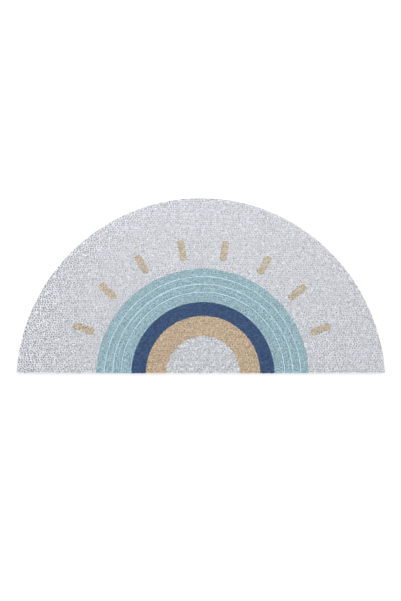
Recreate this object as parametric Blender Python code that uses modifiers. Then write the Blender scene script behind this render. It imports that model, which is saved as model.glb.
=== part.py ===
# Half-round doormat of looped PVC coil with an inlaid rising sun.
# A thin PVC backing sheet carries flat pieces cut from dyed coil sheet: a pale half disc,
# three half rings round it, the pale field with its curved rim, and eight short rays let
# into the field. Three fine grooves are pressed along the widest ring.
# Metres, +Z up. The origin is the middle of the underside and the straight edge faces -Y.

import math

import bmesh
import bpy
from mathutils import Matrix, Vector

# The mat as a whole
MAT_RADIUS = 0.400
MAT_THICKNESS = 0.012
BACKING_THICKNESS = 0.002
STRAIGHT_EDGE_Y = -MAT_RADIUS / 2

# The rising sun, measured from the middle of the straight edge
SUN_RADIUS = 0.080
TAN_WIDTH = 0.045
NAVY_WIDTH = 0.031
TEAL_WIDTH = 0.076
TAN_RADIUS = SUN_RADIUS + TAN_WIDTH
NAVY_RADIUS = TAN_RADIUS + NAVY_WIDTH
TEAL_RADIUS = NAVY_RADIUS + TEAL_WIDTH

# The pressed grooves, counted inwards from the widest ring's outer edge
GROOVE_COUNT = 3
GROOVE_PITCH = 0.0178
GROOVE_HALF_WIDTH = 0.0012
GROOVE_SIDES = 8

# The rays, evenly spread over the half circle
RAY_COUNT = 8
RAY_STEP = math.radians(20)
RAY_MID_RADIUS = 0.279
RAY_LENGTH = 0.048
RAY_WIDTH = 0.016
RAY_CORNER = 0.006
RAY_CORNER_STEPS = 5

# How the pieces meet
FIT_GAP = 0.0003
RIM_CHAMFER = 0.0008
RIM_ANGLE = math.radians(60)
WELD_DISTANCE = 0.00001

# One straight facet of a curved edge is about this long, with this many at least
FACET_LENGTH = 0.011
FEWEST_FACETS = 32

COIL_BOTTOM = BACKING_THICKNESS + FIT_GAP

# The half rings of coil sheet from the middle outwards
HALF_RINGS = (
    # name, inner radius, outer radius, colour
    ("sun_centre", 0.0, SUN_RADIUS, "pale"),
    ("tan_ring", SUN_RADIUS, TAN_RADIUS, "tan"),
    ("navy_ring", TAN_RADIUS, NAVY_RADIUS, "navy"),
    ("teal_ring", NAVY_RADIUS, TEAL_RADIUS, "teal"),
)

# The coil sheet's dyes and the backing, as linear colour
FINISHES = {
    # name: colour, roughness
    "pale": ((0.62, 0.64, 0.67), 0.5),
    "tan": ((0.52, 0.41, 0.28), 0.5),
    "navy": ((0.05, 0.09, 0.19), 0.5),
    "teal": ((0.31, 0.46, 0.51), 0.5),
    "backing": ((0.55, 0.57, 0.59), 0.7),
}


def clear_scene():
    for obj in list(bpy.data.objects):
        bpy.data.objects.remove(obj, do_unlink=True)


def new_collection(name):
    collection = bpy.data.collections.new(name)
    bpy.context.scene.collection.children.link(collection)
    return collection


def make_finishes():
    made = {}
    for name, (colour, roughness) in FINISHES.items():
        material = bpy.data.materials.new(name)
        material.use_nodes = True
        shader = material.node_tree.nodes["Principled BSDF"]
        shader.inputs["Base Color"].default_value = (*colour, 1.0)
        shader.inputs["Roughness"].default_value = roughness
        shader.inputs["Metallic"].default_value = 0.0
        made[name] = material
    return made


def arc(radius, start, end, centre=(0.0, 0.0), steps=None):
    """Points along an arc, both ends included."""
    if steps is None:
        steps = max(FEWEST_FACETS, round(radius * abs(end - start) / FACET_LENGTH))
    angles = [start + (end - start) * i / steps for i in range(steps + 1)]
    return [
        (centre[0] + radius * math.cos(a), centre[1] + radius * math.sin(a))
        for a in angles
    ]


def half_ring_outline(inner, outer):
    """Outline of a half ring whose ends lie on the straight edge, or of a half disc."""
    points = arc(outer, 0.0, math.pi)
    if inner > 0.0:
        points += arc(inner, math.pi, 0.0)
    return points


def ray_outline(grow=0.0):
    """Outline of one ray about its own middle, lengthwise along X, with rounded corners."""
    corner = RAY_CORNER + grow
    reach_x = RAY_LENGTH / 2 - RAY_CORNER
    reach_y = RAY_WIDTH / 2 - RAY_CORNER
    points = []
    for quarter, (side_x, side_y) in enumerate(((1, 1), (-1, 1), (-1, -1), (1, -1))):
        start = quarter * math.pi / 2
        middle = (side_x * reach_x, side_y * reach_y)
        points += arc(corner, start, start + math.pi / 2, middle, RAY_CORNER_STEPS)
    return points


def ray_place(index):
    """Turn and shift of one ray, from its own middle to its seat in the field."""
    angle = (index + 1) * RAY_STEP
    return Matrix.Rotation(angle, 4, "Z") @ Matrix.Translation((RAY_MID_RADIUS, 0, 0))


def placed(outline, matrix):
    """An outline moved from its own middle to its place on the mat."""
    return [tuple((matrix @ Vector((x, y, 0.0))).xy) for x, y in outline]


def flat_solid(name, outlines, bottom, top, collection):
    """A closed flat piece from one outline, with any further outlines cut through it."""
    curve = bpy.data.curves.new(name, "CURVE")
    curve.dimensions = "2D"
    curve.fill_mode = "BOTH"
    curve.extrude = (top - bottom) / 2
    for outline in outlines:
        spline = curve.splines.new("POLY")
        spline.points.add(len(outline) - 1)
        for point, (x, y) in zip(spline.points, outline):
            point.co = (x, y, 0.0, 1.0)
        spline.use_cyclic_u = True
    flat = bpy.data.objects.new(name + "_outline", curve)
    bpy.context.scene.collection.objects.link(flat)
    graph = bpy.context.evaluated_depsgraph_get()
    mesh = bpy.data.meshes.new_from_object(flat.evaluated_get(graph))
    bpy.data.objects.remove(flat, do_unlink=True)
    bpy.data.curves.remove(curve)

    solid = bmesh.new()
    solid.from_mesh(mesh)
    bmesh.ops.remove_doubles(solid, verts=solid.verts, dist=WELD_DISTANCE)
    bmesh.ops.translate(solid, verts=solid.verts, vec=(0, 0, (top + bottom) / 2))
    bmesh.ops.recalc_face_normals(solid, faces=solid.faces)
    solid.to_mesh(mesh)
    solid.free()
    mesh.name = name
    obj = bpy.data.objects.new(name, mesh)
    collection.objects.link(obj)
    return obj


def chamfer_top_rim(obj, top):
    """Eases the cut edge round the top face, where the coil sheet's loops give way."""
    shape = bmesh.new()
    shape.from_mesh(obj.data)
    weight = shape.edges.layers.float.new("bevel_weight_edge")
    for edge in shape.edges:
        on_top = all(abs(v.co.z - top) < WELD_DISTANCE for v in edge.verts)
        if on_top and edge.is_manifold and edge.calc_face_angle() > RIM_ANGLE:
            edge[weight] = 1.0
    shape.to_mesh(obj.data)
    shape.free()
    bevel = obj.modifiers.new("rim_chamfer", "BEVEL")
    bevel.limit_method = "WEIGHT"
    bevel.width = RIM_CHAMFER
    bevel.segments = 1


def press_grooves(ring, sun, cutters):
    """Presses the round-bottomed grooves along the widest ring."""
    for index in range(GROOVE_COUNT):
        radius = TEAL_RADIUS - (index + 1) * GROOVE_PITCH
        facets = 2 * round(radius * math.pi / FACET_LENGTH)
        bpy.ops.mesh.primitive_torus_add(
            major_radius=radius,
            minor_radius=GROOVE_HALF_WIDTH,
            major_segments=facets,
            minor_segments=GROOVE_SIDES,
        )
        cutter = bpy.context.object
        cutter.name = f"groove_cutter_{index + 1}"
        for owner in list(cutter.users_collection):
            owner.objects.unlink(cutter)
        cutters.objects.link(cutter)
        cutter.parent = sun
        cutter.location.z = MAT_THICKNESS
        # Half a facet's turn keeps the cutter's corners off the ring's flat ends
        cutter.rotation_euler.z = math.pi / facets
        cutter.hide_render = True
        cutter.display_type = "WIRE"
        cut = ring.modifiers.new(f"groove_{index + 1}", "BOOLEAN")
        cut.operation = "DIFFERENCE"
        cut.object = cutter


def coil_piece(name, outlines, finish, sun, collection):
    piece = flat_solid(name, outlines, COIL_BOTTOM, MAT_THICKNESS, collection)
    piece.parent = sun
    piece.data.materials.append(finish)
    chamfer_top_rim(piece, MAT_THICKNESS)
    return piece


def build_mat():
    mat = new_collection("doormat")
    cutters = new_collection("cutters")
    finishes = make_finishes()
    sun = bpy.data.objects.new("sun_middle", None)
    sun.location.y = STRAIGHT_EDGE_Y
    mat.objects.link(sun)

    backing = flat_solid(
        "backing", [half_ring_outline(0.0, MAT_RADIUS)], 0.0, BACKING_THICKNESS, mat
    )
    backing.parent = sun
    backing.data.materials.append(finishes["backing"])

    seats = [placed(ray_outline(FIT_GAP), ray_place(i)) for i in range(RAY_COUNT)]
    rim = half_ring_outline(TEAL_RADIUS + FIT_GAP / 2, MAT_RADIUS)
    coil_piece("field", [rim, *seats], finishes["pale"], sun, mat)

    for name, inner, outer, colour in HALF_RINGS:
        inside = inner + FIT_GAP / 2 if inner > 0.0 else 0.0
        outline = half_ring_outline(inside, outer - FIT_GAP / 2)
        ring = coil_piece(name, [outline], finishes[colour], sun, mat)
        if name == "teal_ring":
            press_grooves(ring, sun, cutters)

    for index in range(RAY_COUNT):
        ray = coil_piece(
            f"ray_{index + 1}", [ray_outline()], finishes["tan"], sun, mat
        )
        ray.matrix_local = ray_place(index)


clear_scene()
build_mat()
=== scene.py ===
# The finish of a half-round doormat of looped PVC coil.
# Everything is in metres. The mat lies on the floor with its tread up, its straight edge
# faces -Y, and the middle of the rising sun is the middle of that edge.

import math

import bmesh
import bpy
import numpy as np
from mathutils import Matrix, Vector


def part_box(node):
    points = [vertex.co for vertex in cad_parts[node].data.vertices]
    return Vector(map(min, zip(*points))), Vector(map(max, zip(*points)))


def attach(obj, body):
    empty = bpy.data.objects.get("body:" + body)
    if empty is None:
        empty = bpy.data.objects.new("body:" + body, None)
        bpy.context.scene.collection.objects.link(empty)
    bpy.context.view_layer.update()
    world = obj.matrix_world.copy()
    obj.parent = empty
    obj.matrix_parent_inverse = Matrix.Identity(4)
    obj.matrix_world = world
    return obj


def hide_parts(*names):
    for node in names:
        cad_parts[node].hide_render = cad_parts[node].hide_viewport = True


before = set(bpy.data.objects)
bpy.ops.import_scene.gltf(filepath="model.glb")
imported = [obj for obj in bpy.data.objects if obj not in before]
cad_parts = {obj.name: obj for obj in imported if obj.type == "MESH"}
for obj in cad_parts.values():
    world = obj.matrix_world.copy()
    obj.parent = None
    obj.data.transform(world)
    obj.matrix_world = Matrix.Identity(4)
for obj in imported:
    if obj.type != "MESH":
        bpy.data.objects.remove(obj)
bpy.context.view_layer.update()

# The view. The photo looks down on the mat from about 0.9 m through a wide lens, turned a
# few degrees towards the curved rim. Its circles drift apart a little for that reason.
LENS_MM = 24
CAMERA_PLACE = (-0.0337, -0.1821, 0.8961)
CAMERA_TURN_DEGREES = (9.073, -1.777, 0.032)

lens = bpy.data.cameras.new("photo_view")
lens.lens = LENS_MM
camera = bpy.data.objects.new("photo_view", lens)
camera.rotation_mode = "ZXY"
camera.rotation_euler = [math.radians(turn) for turn in CAMERA_TURN_DEGREES]
camera.location = CAMERA_PLACE
bpy.context.scene.collection.objects.link(camera)
bpy.context.scene.camera = camera

# The studio. The mat lies on a wide white light table, which glows a little so that hardly a
# shadow shows. Light comes evenly from all round and a little more from beyond the curved rim.
CARD_WIDTH = 12.0
CARD_DROP = 0.0002
CARD_COLOUR = (0.54, 0.54, 0.54, 1.0)
CARD_ROUGHNESS = 0.9
CARD_GLOW = 0.38
WHITE = (1.0, 1.0, 1.0, 1.0)
ROOM_LIGHT = 1.3
LAMP_PLACE = (-0.03, 0.75, 1.1)
LAMP_WIDTH = 1.2
LAMP_WATTS = 14.0


def shader_nodes(name, roughness):
    """A new material with its nodes, its links and its main shader."""
    material = bpy.data.materials.new(name)
    material.use_nodes = True
    nodes = material.node_tree.nodes
    shader = nodes["Principled BSDF"]
    shader.inputs["Roughness"].default_value = roughness
    return material, nodes, material.node_tree.links, shader


def link_object(name, mesh):
    made = bpy.data.objects.new(name, mesh)
    bpy.context.scene.collection.objects.link(made)
    return made


card_shape = bmesh.new()
bmesh.ops.create_grid(card_shape, x_segments=1, y_segments=1, size=CARD_WIDTH / 2)
bmesh.ops.translate(card_shape, verts=card_shape.verts, vec=(0, 0, -CARD_DROP))
card_mesh = bpy.data.meshes.new("white_card")
card_shape.to_mesh(card_mesh)
card_shape.free()
card = link_object("white_card", card_mesh)
card_finish, _, _, card_shader = shader_nodes("white_card", CARD_ROUGHNESS)
card_shader.inputs["Base Color"].default_value = CARD_COLOUR
card_shader.inputs["Emission Color"].default_value = WHITE
card_shader.inputs["Emission Strength"].default_value = CARD_GLOW
card_mesh.materials.append(card_finish)

room = bpy.data.worlds.new("white_room")
room.use_nodes = True
room_light = room.node_tree.nodes["Background"]
room_light.inputs["Color"].default_value = WHITE
room_light.inputs["Strength"].default_value = ROOM_LIGHT
bpy.context.scene.world = room

glow = bpy.data.lights.new("soft_lamp", "AREA")
glow.shape = "DISK"
glow.size = LAMP_WIDTH
glow.energy = LAMP_WATTS
lamp = bpy.data.objects.new("soft_lamp", glow)
lamp.location = LAMP_PLACE
lamp.rotation_euler = (-Vector(LAMP_PLACE)).to_track_quat("-Z", "Y").to_euler()
bpy.context.scene.collection.objects.link(lamp)
bpy.context.scene.view_settings.view_transform = "Standard"

# The backing. A thin sheet of soft PVC is rolled out and die-cut to the half disc, with a
# fine pimpled grain pressed into its underside so that it grips the floor.
BACKING_COLOUR = (176, 180, 184)
BACKING_ROUGHNESS = 0.62
BACKING_EDGE_ROUND = 0.0003
BACKING_SHARP_ANGLE = math.radians(50)
BACKING_FACETS = 240
DUST_SCALE = 30.0
DUST_SHADES = (0.85, 1.2)
PIMPLE_PITCH = 0.0032
PIMPLE_RANDOMNESS = 0.15
PIMPLE_HEIGHT = 0.0005
# Painted shade: the backing's colour is darkened by this share in the valleys between the
# pimples.
PIMPLE_VALLEY_PAINTED_SHADE = 0.6
WELD = 0.0000002

backing_low, backing_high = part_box("backing")
MAT_RADIUS = backing_high.x
EDGE_Y = backing_low.y
BACKING_TOP = backing_high.z
SUN_MIDDLE = Vector((0.0, EDGE_Y, 0.0))


def linear(colour, scale=1.0):
    """A screen colour from 0 to 255 as the linear values that a shader takes."""
    parts = [c / 255 for c in colour]
    parts = [c / 12.92 if c <= 0.04045 else ((c + 0.055) / 1.055) ** 2.4 for c in parts]
    return (*[min(c * scale, 1.0) for c in parts], 1.0)


def texture(nodes, links, kind, scale, **settings):
    """A texture in the object's own coordinates, with about one feature per 1/scale metres."""
    coordinates = nodes.new("ShaderNodeTexCoord")
    made = nodes.new(kind)
    made.inputs["Scale"].default_value = scale
    for socket, value in settings.items():
        made.inputs[socket].default_value = value
    links.new(coordinates.outputs["Object"], made.inputs["Vector"])
    return made


def mix_colours(nodes, links, share, first, second):
    """A blend of two colours, each a socket or four values, by a socket from 0 to 1."""
    mix = nodes.new("ShaderNodeMix")
    mix.data_type = "RGBA"
    links.new(share, mix.inputs["Factor"])
    for name, value in (("A", first), ("B", second)):
        socket = next(s for s in mix.inputs if s.name == name and s.type == "RGBA")
        if isinstance(value, tuple):
            socket.default_value = value
        else:
            links.new(value, socket)
    return next(s for s in mix.outputs if s.type == "RGBA")


def add_bump(nodes, links, shader, height, distance, strength=1.0):
    bump = nodes.new("ShaderNodeBump")
    bump.inputs["Distance"].default_value = distance
    bump.inputs["Strength"].default_value = strength
    links.new(height, bump.inputs["Height"])
    links.new(bump.outputs["Normal"], shader.inputs["Normal"])


backing_shape = bmesh.new()
bmesh.ops.create_circle(
    backing_shape, cap_ends=True, segments=BACKING_FACETS, radius=MAT_RADIUS
)
bmesh.ops.bisect_plane(
    backing_shape,
    geom=backing_shape.verts[:] + backing_shape.edges[:] + backing_shape.faces[:],
    plane_co=(0, 0, 0),
    plane_no=(0, -1, 0),
    clear_outer=True,
)
bmesh.ops.remove_doubles(backing_shape, verts=backing_shape.verts, dist=WELD)
raised = bmesh.ops.extrude_face_region(backing_shape, geom=backing_shape.faces[:])
raised_corners = [g for g in raised["geom"] if isinstance(g, bmesh.types.BMVert)]
bmesh.ops.translate(backing_shape, verts=raised_corners, vec=(0, 0, BACKING_TOP))
bmesh.ops.recalc_face_normals(backing_shape, faces=backing_shape.faces)
level_edges = [
    edge
    for edge in backing_shape.edges
    if abs(edge.verts[0].co.z - edge.verts[1].co.z) < BACKING_EDGE_ROUND
]
bmesh.ops.bevel(
    backing_shape,
    geom=level_edges,
    affect="EDGES",
    offset=BACKING_EDGE_ROUND,
    segments=2,
    profile=0.5,
    material=-1,
)
bmesh.ops.translate(backing_shape, verts=backing_shape.verts, vec=SUN_MIDDLE)
backing_mesh = bpy.data.meshes.new("backing_sheet")
backing_shape.to_mesh(backing_mesh)
backing_shape.free()
backing_mesh.shade_smooth()
backing_mesh.set_sharp_from_angle(angle=BACKING_SHARP_ANGLE)
backing = link_object("backing_sheet", backing_mesh)

finish, nodes, links, shader = shader_nodes("backing_pvc", BACKING_ROUGHNESS)
dust = texture(nodes, links, "ShaderNodeTexNoise", DUST_SCALE, Detail=4.0)
dusty_colour = mix_colours(
    nodes, links, dust.outputs["Fac"], *[linear(BACKING_COLOUR, shade) for shade in DUST_SHADES]
)
pimples = texture(
    nodes, links, "ShaderNodeTexVoronoi", 1 / PIMPLE_PITCH, Randomness=PIMPLE_RANDOMNESS
)
# Darker towards the valleys between the pimples: painted shade.
grain_with_painted_shade = mix_colours(
    nodes, links, pimples.outputs["Distance"], dusty_colour, linear(BACKING_COLOUR, PIMPLE_VALLEY_PAINTED_SHADE)
)
links.new(grain_with_painted_shade, shader.inputs["Base Color"])
add_bump(nodes, links, shader, pimples.outputs["Distance"], PIMPLE_HEIGHT, -1.0)
backing_mesh.materials.append(finish)
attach(backing, "root")
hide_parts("backing")

# The field. Extruded PVC filaments fall in loops on a slow belt, row beside row, and weld
# where they touch, which makes an open springy sheet. The pale sheet is cut to the half disc.
FILAMENT_RADIUS = 0.0008
LOOP_SIDES = 9
NEST_STEP = 0.0072
NEST_ROW = 0.0050
ALONG_DRIFT = 0.0016
ACROSS_DRIFT = 0.0008
NEST_TURNS = 2
OUTER_RADIUS = 0.0036
INNER_RADIUS = 0.0021
PIT_DRIFT = 0.0005
HOP_START = 0.8
FIRST_TURN = math.radians(162)
SWING_DRIFT = 0.8
LEAN_DRIFT = 1.2
LEAN_HEIGHT = 0.0005
RISE_DRIFT = 0.0003
CUT_REACH = 0.0002
CUT_RAGGED = 0.0005
CUT_SHARES = (0.05, 0.95)
LARGEST_SHARE = 25000
FEWEST_POINTS = 3
UNDERLAYER_TOP = 0.0082
RIM_ROOM = 0.0014
STRAIGHT_REACH = 0.0010
CURVED_REACH = 0.0028
RIM_ROWS = (0.0052, 0.0088)
RIM_LOOP_SIZE = 0.62
PALE = (210, 212, 217)
PALE_UNEVEN = 0.25
DYE_PATCH = 0.0050
STRAND_ROUGHNESS = 0.5
STRAND_GRAIN_SCALE = 1500.0
STRAND_GRAIN_HEIGHT = 0.00008
DEEP_ROUGHNESS = 0.55
# The lower layer's dye is darkened for its strands and more for its holes: painted shade and
# painted shadow.
DEEP_STRAND_PAINTED_SHADE = 0.92
HOLE_PAINTED_SHADOW = 0.54
DEEP_PITCHES = (0.0058, 0.0071)
DEEP_RANDOMNESS = 0.8
DEEP_RELIEF = 0.0012
RING_SHADES = (
    # distance from a ring's middle in pitches, how much strand
    (0.00, 0.0),
    (0.24, 0.0),
    (0.36, 1.0),
    (0.42, 1.0),
    (0.54, 0.0),
)
RAY_CORNER = 0.006
RAY_LENGTH = 0.048
RAY_WIDTH = 0.016
FIELD_SEED = 1
FULL_TURN = 2 * math.pi

field_low, field_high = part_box("field")
TREAD = field_high.z
LOOP_MIDDLE = TREAD - FILAMENT_RADIUS - LEAN_HEIGHT - RISE_DRIFT
TEAL_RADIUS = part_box("teal_ring")[1].x
RAY_NAMES = sorted(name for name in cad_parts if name.startswith("ray_"))

section = bpy.data.curves.new("filament_section", "CURVE")
section.dimensions = "2D"
corner_spline = section.splines.new("POLY")
corner_spline.points.add(2)
for corner, point in enumerate(corner_spline.points):
    turn = math.pi / 2 - FULL_TURN * corner / 3
    point.co = (FILAMENT_RADIUS * math.cos(turn), FILAMENT_RADIUS * math.sin(turn), 0, 1)
corner_spline.use_cyclic_u = True
filament_section = link_object("filament_section", section)


def looping(length, size, random):
    """One filament that winds inwards round one pit after another: its points as distance
    along, across and up."""
    pits = np.arange(int(length / (NEST_STEP * size)) + 3)
    turns = np.arange(0.0, (len(pits) - 1) * NEST_TURNS, 1 / LOOP_SIDES)
    into_nest = turns / NEST_TURNS % 1.0
    hop = ((into_nest - HOP_START) / (1 - HOP_START)).clip(0.0, 1.0)
    place = np.floor(turns / NEST_TURNS) + hop

    def drifting(spread):
        return np.interp(place, pits, random.normal(0.0, spread, len(pits)))

    wound = np.where(hop > 0.0, 1 - hop, into_nest / HOP_START)
    inner = INNER_RADIUS + drifting(PIT_DRIFT)
    radius = (OUTER_RADIUS + (inner - OUTER_RADIUS) * wound) * size
    swing = FULL_TURN * turns + FIRST_TURN + drifting(SWING_DRIFT)
    lean = drifting(LEAN_DRIFT)
    side = random.choice((-1, 1))
    along = place * NEST_STEP * size + drifting(ALONG_DRIFT * size) + radius * np.cos(swing)
    across = drifting(ACROSS_DRIFT * size) + side * radius * np.sin(swing)
    rise = LEAN_HEIGHT * np.cos(swing - lean) + drifting(RISE_DRIFT)
    return along, across, rise


def kept_stretches(points, depth):
    """The stretches of a filament with a depth above 0, each ending right at the cut."""
    inside = depth > 0.0
    last = np.flatnonzero(inside[1:] != inside[:-1])
    share = (depth[last] / (depth[last] - depth[last + 1])).clip(*CUT_SHARES)
    cuts = points[last] + share[:, None] * (points[last + 1] - points[last])
    starts = np.concatenate([[0], last + 1])
    kept = []
    for number, stretch in enumerate(np.split(points, last + 1)):
        whole = np.concatenate([cuts[number - 1 : number], stretch, cuts[number : number + 1]])
        if inside[starts[number]] and len(whole) >= FEWEST_POINTS:
            kept.append(whole)
    return kept


def cut_to_piece(x, y, rise, depth, random):
    """A filament of the tread cut where depth says, a little raggedly from nest to nest. It
    reaches into its neighbours, so that no gap shows between the pieces."""
    z = (LOOP_MIDDLE + rise).clip(UNDERLAYER_TOP, TREAD - FILAMENT_RADIUS)
    ragged = random.uniform(0.0, CUT_RAGGED, len(x) // LOOP_SIDES + 1)
    reach = CUT_REACH - np.repeat(ragged, LOOP_SIDES)[: len(x)]
    return kept_stretches(np.stack([x, y, z], 1), depth(x, y) + reach)


def straight_rows(low, high, depth, seed):
    """Rows of looping filament over a rectangle, cut to the piece that depth describes."""
    random = np.random.default_rng(seed)
    kept = []
    for row_y in np.arange(low.y - NEST_ROW / 2, high.y + NEST_ROW, NEST_ROW):
        along, across, rise = looping(high.x - low.x + NEST_STEP, 1.0, random)
        x, y = low.x + along - NEST_STEP * random.uniform(), row_y + across
        kept += cut_to_piece(x, y, rise, depth, random)
    return kept


def bent(along, across, radius):
    """Distances along and across a half circle round the sun's middle, as x and y."""
    turn = along / radius
    return (radius + across) * np.cos(turn), EDGE_Y + (radius + across) * np.sin(turn)


def straight_rim_stretches(low_x, high_x, seed):
    """Loops standing along the cut straight edge, from one x to another."""
    random = np.random.default_rng(seed)
    kept = []
    for height in RIM_ROWS:
        along, up, out = looping(high_x - low_x, RIM_LOOP_SIZE, random)
        x, y = low_x + along, EDGE_Y - STRAIGHT_REACH + FILAMENT_RADIUS + LEAN_HEIGHT + out
        z = (height + up).clip(BACKING_TOP + FILAMENT_RADIUS, TREAD - FILAMENT_RADIUS)
        inside = np.minimum(x - low_x, high_x - x)
        kept += kept_stretches(np.stack([x, y, z], 1), inside)
    return kept


def weld_ends(mesh):
    """Welds the caps onto the ends of the tubes."""
    shape = bmesh.new()
    shape.from_mesh(mesh)
    bmesh.ops.remove_doubles(shape, verts=shape.verts, dist=WELD)
    shape.to_mesh(mesh)
    shape.free()
    mesh.shade_smooth()


def filament_mesh(name, stretches):
    """Three-sided tubes along the stretches, as one mesh, with a flat map seen from above."""
    curve = bpy.data.curves.new(name, "CURVE")
    curve.dimensions = "3D"
    curve.twist_mode = "Z_UP"
    curve.bevel_mode = "OBJECT"
    curve.bevel_object = filament_section
    curve.use_fill_caps = True
    for stretch in stretches:
        spline = curve.splines.new("POLY")
        spline.points.add(len(stretch) - 1)
        with_weights = np.column_stack([stretch, np.ones(len(stretch))])
        spline.points.foreach_set("co", with_weights.ravel())
    tubes = link_object(name, curve)
    graph = bpy.context.evaluated_depsgraph_get()
    mesh = bpy.data.meshes.new_from_object(tubes.evaluated_get(graph))
    bpy.data.objects.remove(tubes, do_unlink=True)
    bpy.data.curves.remove(curve)
    weld_ends(mesh)
    while mesh.uv_layers:
        mesh.uv_layers.remove(mesh.uv_layers[0])
    places = np.empty(len(mesh.vertices) * 3, np.float32)
    mesh.vertices.foreach_get("co", places)
    owners = np.empty(len(mesh.loops), np.int32)
    mesh.loops.foreach_get("vertex_index", owners)
    flat = places.reshape(-1, 3)[:, :2]
    flat = (flat - flat.min(0)) / np.ptp(flat, axis=0).max()
    mesh.uv_layers.new(name="OFBake").uv.foreach_set("vector", flat[owners].ravel())
    return mesh


def dyed_filament(name, colour, uneven):
    """Satin soft PVC dyed through, whose dye is uneven from loop to loop by the share given."""
    finish, nodes, links, shader = shader_nodes(name, STRAND_ROUGHNESS)
    patches = texture(nodes, links, "ShaderNodeTexNoise", 1 / DYE_PATCH, Detail=0.0)
    tint = mix_colours(
        nodes,
        links,
        patches.outputs["Fac"],
        linear(colour, 1 - uneven),
        linear(colour, 1 + uneven),
    )
    links.new(tint, shader.inputs["Base Color"])
    grain = texture(nodes, links, "ShaderNodeTexNoise", STRAND_GRAIN_SCALE, Detail=2.0)
    add_bump(nodes, links, shader, grain.outputs["Fac"], STRAND_GRAIN_HEIGHT)
    return finish


def ring_pattern(nodes, links, pitch):
    """Rings of strand about pitch apart, seen from above: 1 along a strand and 0 in a hole, where
    the painted shadow goes.
    """
    cells = texture(nodes, links, "ShaderNodeTexVoronoi", 1 / pitch, Randomness=DEEP_RANDOMNESS)
    cells.voronoi_dimensions = "2D"
    ramp = nodes.new("ShaderNodeValToRGB")
    for _ in range(len(RING_SHADES) - 2):
        ramp.color_ramp.elements.new(0.5)
    for stop, (place, shade) in zip(ramp.color_ramp.elements, RING_SHADES):
        stop.position = place
        stop.color = (shade, shade, shade, 1.0)
    ramp.color_ramp.interpolation = "EASE"
    links.new(cells.outputs["Distance"], ramp.inputs["Fac"])
    return ramp.outputs["Color"]


def painted_shade_deep_coil(name, colour):
    """The lower loops as they show through the tread: rings of strand in the dye darkened as
    painted shade, round holes painted dark as their shadow.
    """
    finish, nodes, links, shader = shader_nodes(name, DEEP_ROUGHNESS)
    strands = nodes.new("ShaderNodeMath")
    strands.operation = "MAXIMUM"
    for socket, pitch in zip(strands.inputs, DEEP_PITCHES):
        links.new(ring_pattern(nodes, links, pitch), socket)
    # The holes get the dye darkened as painted shadow, the lower strands the dye darkened a
    # little as painted shade.
    tint = mix_colours(
        nodes,
        links,
        strands.outputs["Value"],
        linear(colour, HOLE_PAINTED_SHADOW),
        linear(colour, DEEP_STRAND_PAINTED_SHADE),
    )
    links.new(tint, shader.inputs["Base Color"])
    add_bump(nodes, links, shader, strands.outputs["Value"], DEEP_RELIEF)
    return finish


def underlayer_mesh(name, node):
    """The piece's slab cut off below the loops and drawn in from the mat's cut edges."""
    shape = bmesh.new()
    shape.from_mesh(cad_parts[node].data)
    bmesh.ops.remove_doubles(shape, verts=shape.verts, dist=WELD)
    bmesh.ops.bisect_plane(
        shape,
        geom=shape.verts[:] + shape.edges[:] + shape.faces[:],
        plane_co=(0, 0, UNDERLAYER_TOP),
        plane_no=(0, 0, 1),
        clear_outer=True,
    )
    cut = [edge for edge in shape.edges if edge.is_boundary]
    bmesh.ops.triangle_fill(shape, edges=cut, use_beauty=True, normal=(0, 0, 1))
    bmesh.ops.recalc_face_normals(shape, faces=shape.faces)
    for corner in shape.verts:
        outwards = (corner.co - SUN_MIDDLE).to_2d()
        if outwards.length > MAT_RADIUS - RIM_ROOM:
            outwards = outwards.normalized() * (MAT_RADIUS - RIM_ROOM)
            corner.co.xy = SUN_MIDDLE.to_2d() + outwards
        corner.co.y = max(corner.co.y, EDGE_Y + RIM_ROOM)
    mesh = bpy.data.meshes.new(name)
    shape.to_mesh(mesh)
    shape.free()
    return mesh


def add_coil(name, stretches, colour, uneven, node):
    """Adds a piece of coil: its loops, shared out so that no mesh is too large, and below
    them its lower layer. Returns all of them."""
    strand_finish = dyed_filament(f"{name}_filament", colour, uneven)
    shares = [[]]
    count = 0
    for stretch in stretches:
        count += len(stretch)
        if count > LARGEST_SHARE:
            shares.append([])
            count = len(stretch)
        shares[-1].append(stretch)
    made = []
    for number, share in enumerate(shares, 1):
        label = f"{name}_loops_{number}" if len(shares) > 1 else f"{name}_loops"
        mesh = filament_mesh(label, share)
        mesh.materials.append(strand_finish)
        made.append(link_object(label, mesh))
    under = underlayer_mesh(f"{name}_underlayer", node)
    under.materials.clear()
    under.materials.append(painted_shade_deep_coil(f"{name}_deep", colour))
    made.append(link_object(f"{name}_underlayer", under))
    for piece in made:
        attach(piece, "root")
        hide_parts(node)
    return made


def ring_depth(x, y, inner, outer):
    """How far points lie inside a half ring round the sun's middle. On the mat's straight
    edge it reaches a little past the cut."""
    away = np.hypot(x, y - EDGE_Y)
    return np.minimum(np.minimum(away - inner, outer - away), y - EDGE_Y + STRAIGHT_REACH)


def ray_depth(x, y, ray):
    """How far points lie inside a ray, which points away from the sun's middle."""
    low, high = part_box(ray)
    middle = (low + high) / 2
    outwards = (middle - SUN_MIDDLE).to_2d().normalized()
    along = (x - middle.x) * outwards.x + (y - middle.y) * outwards.y
    across = (y - middle.y) * outwards.x - (x - middle.x) * outwards.y
    over_x = np.abs(along) - RAY_LENGTH / 2 + RAY_CORNER
    over_y = np.abs(across) - RAY_WIDTH / 2 + RAY_CORNER
    outside = np.hypot(over_x.clip(0), over_y.clip(0))
    return RAY_CORNER - outside - np.minimum(np.maximum(over_x, over_y), 0.0)


def field_depth(x, y):
    depth = ring_depth(x, y, TEAL_RADIUS, MAT_RADIUS + CURVED_REACH)
    for ray in RAY_NAMES:
        depth = np.minimum(depth, -ray_depth(x, y, ray))
    return depth


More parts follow.
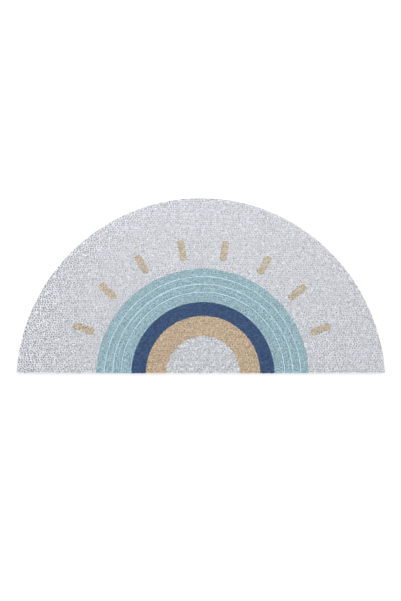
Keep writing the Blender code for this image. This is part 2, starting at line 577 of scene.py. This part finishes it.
def curved_rim_stretches(seed):
    """Loops standing along the cut curved edge of the field."""
    random = np.random.default_rng(seed)
    kept = []
    for height in RIM_ROWS:
        along, up, out = looping(math.pi * MAT_RADIUS, RIM_LOOP_SIZE, random)
        x, y = bent(along, CURVED_REACH - FILAMENT_RADIUS - LEAN_HEIGHT - out, MAT_RADIUS)
        z = (height + up).clip(BACKING_TOP + FILAMENT_RADIUS, TREAD - FILAMENT_RADIUS)
        kept += kept_stretches(np.stack([x, y, z], 1), y - EDGE_Y + STRAIGHT_REACH)
    return kept


field_stretches = straight_rows(field_low, field_high, field_depth, FIELD_SEED)
field_stretches += curved_rim_stretches(FIELD_SEED + 1)
field_stretches += straight_rim_stretches(-MAT_RADIUS, -TEAL_RADIUS, FIELD_SEED + 2)
field_stretches += straight_rim_stretches(TEAL_RADIUS, MAT_RADIUS, FIELD_SEED + 3)
coil_pieces = add_coil("field", field_stretches, PALE, PALE_UNEVEN, "field")

# The sun's middle. A half disc from another roll of pale sheet, a shade duller than the field,
# cut with its own die and set against the middle of the straight edge.
SUN_PALE = (206, 209, 213)
SUN_UNEVEN = 0.5
SUN_SEED = 11

sun_low, sun_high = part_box("sun_centre")
SUN_RADIUS = sun_high.x


def sun_depth(x, y):
    return ring_depth(x, y, -MAT_RADIUS, SUN_RADIUS)


sun_stretches = straight_rows(sun_low, sun_high, sun_depth, SUN_SEED)
sun_stretches += straight_rim_stretches(-SUN_RADIUS, SUN_RADIUS, SUN_SEED + 1)
coil_pieces += add_coil("sun", sun_stretches, SUN_PALE, SUN_UNEVEN, "sun_centre")

# The tan, navy and teal half rings. Each is cut from a sheet dyed through in its own colour
# and pushed up against the one inside it, so that the tread stays level across the joints.
TAN = (197, 178, 152)
NAVY = (52, 83, 124)
TEAL = (159, 187, 196)
TAN_UNEVEN = 0.42
NAVY_UNEVEN = 0.7
TEAL_UNEVEN = 0.3
TAN_SEED = 21
NAVY_SEED = 31
TEAL_SEED = 41
GROOVE_COUNT = 3
GROOVE_PITCH = 0.0178
GROOVE_HALF_WIDTH = 0.0012

TAN_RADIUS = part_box("tan_ring")[1].x
NAVY_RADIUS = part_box("navy_ring")[1].x
GROOVE_RADII = [TEAL_RADIUS - (number + 1) * GROOVE_PITCH for number in range(GROOVE_COUNT)]


def add_ring(name, node, inner, outer, stretches, colour, uneven, seed):
    """Adds a half ring of coil from the stretches of its tread, with its two cut ends."""
    stretches += straight_rim_stretches(-outer, -inner, seed + 1)
    stretches += straight_rim_stretches(inner, outer, seed + 2)
    return add_coil(name, stretches, colour, uneven, node)


def add_flat_ring(name, node, inner, outer, colour, uneven, seed):
    """Adds a half ring cut from a sheet with straight rows."""
    low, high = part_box(node)
    stretches = straight_rows(low, high, lambda x, y: ring_depth(x, y, inner, outer), seed)
    return add_ring(name, node, inner, outer, stretches, colour, uneven, seed)


def teal_depth(x, y):
    depth = ring_depth(x, y, NAVY_RADIUS, TEAL_RADIUS)
    for groove in GROOVE_RADII:
        away = np.abs(np.hypot(x, y - EDGE_Y) - groove)
        depth = np.minimum(depth, away - GROOVE_HALF_WIDTH - CUT_REACH)
    return depth


def teal_rows(seed):
    """The teal sheet's rows, which run along the half circle."""
    random = np.random.default_rng(seed)
    kept = []
    for radius in np.arange(NAVY_RADIUS, TEAL_RADIUS + NEST_ROW, NEST_ROW):
        along, across, rise = looping(math.pi * radius + NEST_STEP, 1.0, random)
        x, y = bent(along - NEST_STEP * random.uniform(), across, radius)
        kept += cut_to_piece(x, y, rise, teal_depth, random)
    return kept


coil_pieces += add_flat_ring(
    "tan", "tan_ring", SUN_RADIUS, TAN_RADIUS, TAN, TAN_UNEVEN, TAN_SEED
)
coil_pieces += add_flat_ring(
    "navy", "navy_ring", TAN_RADIUS, NAVY_RADIUS, NAVY, NAVY_UNEVEN, NAVY_SEED
)
coil_pieces += add_ring(
    "teal",
    "teal_ring",
    NAVY_RADIUS,
    TEAL_RADIUS,
    teal_rows(TEAL_SEED),
    TEAL,
    TEAL_UNEVEN,
    TEAL_SEED,
)

# The fused lines. A hot wheel is run along the teal ring three times, which presses a fine groove
# and melts the loops in it into a smooth thread. Its colour is a pale teal: the fused PVC's teal
# with a painted sheen, broken into painted glints along it.
# The fused PVC's teal lightened by a painted sheen.
LINE_PAINTED_SHEEN_COLOUR = (191, 218, 229)
LINE_RADIUS = 0.0009
LINE_DROP = 0.0004
LINE_POINT_STEP = 0.003
LINE_DRIFT = 0.00025
LINE_SWELL = 0.12
LINE_ROUGHNESS = 0.25
LINE_SEED = 51
GLINT_STREAK_SCALE = 220.0
GLINT_STREAK_SHADES = (0.5, 1.3)

lines = bpy.data.curves.new("fused_lines", "CURVE")
lines.dimensions = "3D"
lines.bevel_depth = LINE_RADIUS
lines.bevel_resolution = 1
lines.use_fill_caps = True
line_random = np.random.default_rng(LINE_SEED)
for radius in GROOVE_RADII:
    points = round(math.pi * radius / LINE_POINT_STEP)
    turn = np.linspace(0.0, math.pi, points)
    reach = radius + line_random.normal(0.0, LINE_DRIFT, points)
    drop = LINE_DROP + line_random.normal(0.0, LINE_DRIFT, points)
    z = TREAD - LINE_RADIUS - drop.clip(0.0)
    route = [reach * np.cos(turn), EDGE_Y + reach * np.sin(turn), z, np.ones(points)]
    spline = lines.splines.new("POLY")
    spline.points.add(points - 1)
    spline.points.foreach_set("co", np.stack(route, 1).ravel())
    spline.points.foreach_set("radius", 1.0 + line_random.normal(0.0, LINE_SWELL, points))
line_tubes = link_object("fused_lines_curve", lines)
line_mesh = bpy.data.meshes.new_from_object(
    line_tubes.evaluated_get(bpy.context.evaluated_depsgraph_get())
)
bpy.data.objects.remove(line_tubes, do_unlink=True)
weld_ends(line_mesh)
finish, nodes, links, shader = shader_nodes("fused_thread_painted_sheen", LINE_ROUGHNESS)
# Brighter and darker streaks along the thread: painted glints of the sheen.
glint_streaks = texture(nodes, links, "ShaderNodeTexNoise", GLINT_STREAK_SCALE, Detail=2.0)
painted_sheen_colour = mix_colours(
    nodes, links, glint_streaks.outputs["Fac"], *[linear(LINE_PAINTED_SHEEN_COLOUR, shade) for shade in GLINT_STREAK_SHADES]
)
links.new(painted_sheen_colour, shader.inputs["Base Color"])
line_mesh.materials.append(finish)
fused_lines = link_object("fused_lines", line_mesh)
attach(fused_lines, "root")
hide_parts("teal_ring")
coil_pieces.append(fused_lines)

# The rays. Eight short strips with round ends are punched from the tan sheet and pressed into
# seats of the same shape in the field, pointing away from the sun's middle.
RAY_TAN = (198, 186, 166)
RAY_SEED = 61

for seed, ray in enumerate(RAY_NAMES, RAY_SEED):
    low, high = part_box(ray)
    stretches = straight_rows(low, high, lambda x, y: ray_depth(x, y, ray), seed)
    coil_pieces += add_coil(ray, stretches, RAY_TAN, TAN_UNEVEN, ray)
bpy.data.objects.remove(filament_section, do_unlink=True)
